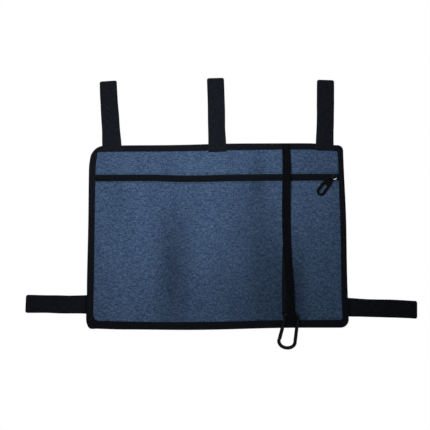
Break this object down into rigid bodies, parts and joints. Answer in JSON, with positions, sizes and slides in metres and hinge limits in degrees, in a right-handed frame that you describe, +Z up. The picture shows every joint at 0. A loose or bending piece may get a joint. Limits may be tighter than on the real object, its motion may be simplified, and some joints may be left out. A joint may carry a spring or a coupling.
{
  "type": "walker storage bag",
  "caption": "Flat zipped cloth bag with bound edges, hook-and-loop straps that wrap over a walker's tubes, and a key strap with a carabiner.",
  "frame": {"origin": "middle of the bag's top edge, in the plane of its back, where the walker's crossbar holds it", "axes": "+X to the right seen from the front, +Y from the front of the bag to its back, +Z up"},
  "size_m": [0.6024, 0.0222, 0.4234],
  "materials": {
    "blue_cloth": "heathered plain weave, matt",
    "edge_tape": "ribbed tape, matt",
    "strap_webbing": "brushed webbing, matt",
    "narrow_webbing": "woven webbing, matt",
    "hook_face": "hook pile",
    "loop_face": "loop pile",
    "zip_tape": "herringbone tape, matt",
    "zip_coil": "satin",
    "black_metal": "black anodised, satin",
    "bright_metal": "bright",
    "pull_plastic": "satin"
  },
  "bodies": {
    "bag": {"back_panel": "blue_cloth", "front_upper_panel": "blue_cloth", "front_lower_panel": "blue_cloth", "top_binding": "edge_tape", "bottom_binding": "edge_tape", "left_binding": "edge_tape", "right_binding": "edge_tape", "zip_tape_upper": "zip_tape", "zip_tape_lower": "zip_tape", "zip_coil_upper": "zip_coil", "zip_coil_lower": "zip_coil", "key_strap_tab": "narrow_webbing", "top_left_base": "strap_webbing", "top_left_loop": "loop_face", "top_middle_base": "strap_webbing", "top_middle_loop": "loop_face", "top_right_base": "strap_webbing", "top_right_loop": "loop_face", "side_left_base": "strap_webbing", "side_left_loop": "loop_face", "side_right_base": "strap_webbing", "side_right_loop": "loop_face"},
    "top_left_over": {"top_left_over": "strap_webbing"},
    "top_left_tail": {"top_left_tail": "strap_webbing", "top_left_hook": "hook_face"},
    "top_middle_over": {"top_middle_over": "strap_webbing"},
    "top_middle_tail": {"top_middle_tail": "strap_webbing", "top_middle_hook": "hook_face"},
    "top_right_over": {"top_right_over": "strap_webbing"},
    "top_right_tail": {"top_right_tail": "strap_webbing", "top_right_hook": "hook_face"},
    "side_left_over": {"side_left_over": "strap_webbing"},
    "side_left_tail": {"side_left_tail": "strap_webbing", "side_left_hook": "hook_face"},
    "side_right_over": {"side_right_over": "strap_webbing"},
    "side_right_tail": {"side_right_tail": "strap_webbing", "side_right_hook": "hook_face"},
    "zip_slider": {"zip_slider": "black_metal", "zip_bail": "bright_metal"},
    "zip_pull": {"zip_pull": "pull_plastic"},
    "key_strap": {"key_strap_upper": "narrow_webbing", "key_strap_lower": "narrow_webbing", "key_strap_loop": "narrow_webbing"},
    "carabiner": {"carabiner_body": "black_metal", "gate_pin": "black_metal"},
    "carabiner_gate": {"carabiner_gate": "black_metal", "gate_spring": "bright_metal"}
  },
  "joints": [
    {"name": "top_left_fold", "type": "hinge", "parent": "bag", "child": "top_left_over", "pos_m": [-0.16387, -0.00675, 0.00414], "axis": [-0.9979, 0, -0.0645], "range_deg": [0, 90]},
    {"name": "top_left_tuck", "type": "hinge", "parent": "top_left_over", "child": "top_left_tail", "pos_m": [-0.16619, -0.00675, 0.04007], "axis": [-0.9979, 0, -0.0645], "range_deg": [0, 115.5]},
    {"name": "top_middle_fold", "type": "hinge", "parent": "bag", "child": "top_middle_over", "pos_m": [0.00162, -0.00675, 0.00415], "axis": [-0.9998, 0, -0.0192], "range_deg": [0, 90]},
    {"name": "top_middle_tuck", "type": "hinge", "parent": "top_middle_over", "child": "top_middle_tail", "pos_m": [0.00093, -0.00675, 0.04014], "axis": [-0.9998, 0, -0.0192], "range_deg": [0, 115.5]},
    {"name": "top_right_fold", "type": "hinge", "parent": "bag", "child": "top_right_over", "pos_m": [0.17047, -0.00675, 0.00415], "axis": [-0.9991, 0, 0.0419], "range_deg": [0, 90]},
    {"name": "top_right_tuck", "type": "hinge", "parent": "top_right_over", "child": "top_right_tail", "pos_m": [0.17198, -0.00675, 0.04011], "axis": [-0.9991, 0, 0.0419], "range_deg": [0, 115.5]},
    {"name": "side_left_fold", "type": "hinge", "parent": "bag", "child": "side_left_over", "pos_m": [-0.20415, 0.00245, -0.24832], "axis": [-0.0192, 0, -0.9998], "range_deg": [0, 90]},
    {"name": "side_left_tuck", "type": "hinge", "parent": "side_left_over", "child": "side_left_tail", "pos_m": [-0.23814, 0.00245, -0.24767], "axis": [-0.0192, 0, -0.9998], "range_deg": [0, 125.5]},
    {"name": "side_right_fold", "type": "hinge", "parent": "bag", "child": "side_right_over", "pos_m": [0.20415, 0.00245, -0.25578], "axis": [0.0436, 0, 0.999], "range_deg": [0, 90]},
    {"name": "side_right_tuck", "type": "hinge", "parent": "side_right_over", "child": "side_right_tail", "pos_m": [0.23811, 0.00245, -0.25726], "axis": [0.0436, 0, 0.999], "range_deg": [0, 119.5]},
    {"name": "zip_slide", "type": "slide", "parent": "bag", "child": "zip_slider", "axis": [-1, 0, 0], "range_m": [0, 0.362]},
    {"name": "zip_pull_flip", "type": "hinge", "parent": "zip_slider", "child": "zip_pull", "pos_m": [0.1805, -0.0093, -0.054], "axis": [-0.7934, 0, 0.6088], "range_deg": [0, 150]},
    {"name": "key_strap_swing", "type": "hinge", "parent": "bag", "child": "key_strap", "pos_m": [0.11, -0.00865, -0.01115], "axis": [-1, 0, 0], "range_deg": [0, 100]},
    {"name": "carabiner_swing", "type": "hinge", "parent": "key_strap", "child": "carabiner", "pos_m": [0.112, -0.0138, -0.2661], "axis": [-0.99, 0, 0.1409], "range_deg": [-8, 90]},
    {"name": "carabiner_gate_swing", "type": "hinge", "parent": "carabiner", "child": "carabiner_gate", "pos_m": [0.10134, -0.0138, -0.27145], "axis": [0, -1, 0], "range_deg": [0, 15], "stiffness_Nm_per_rad": 0.05, "springref_deg": -11.46}
  ],
  "couplings": [
    {"joint": "top_left_tuck", "follows": "top_left_fold", "ratio": 1.2833},
    {"joint": "top_middle_tuck", "follows": "top_middle_fold", "ratio": 1.2833},
    {"joint": "top_right_tuck", "follows": "top_right_fold", "ratio": 1.2833},
    {"joint": "side_left_tuck", "follows": "side_left_fold", "ratio": 1.3944},
    {"joint": "side_right_tuck", "follows": "side_right_fold", "ratio": 1.3278}
  ]
}
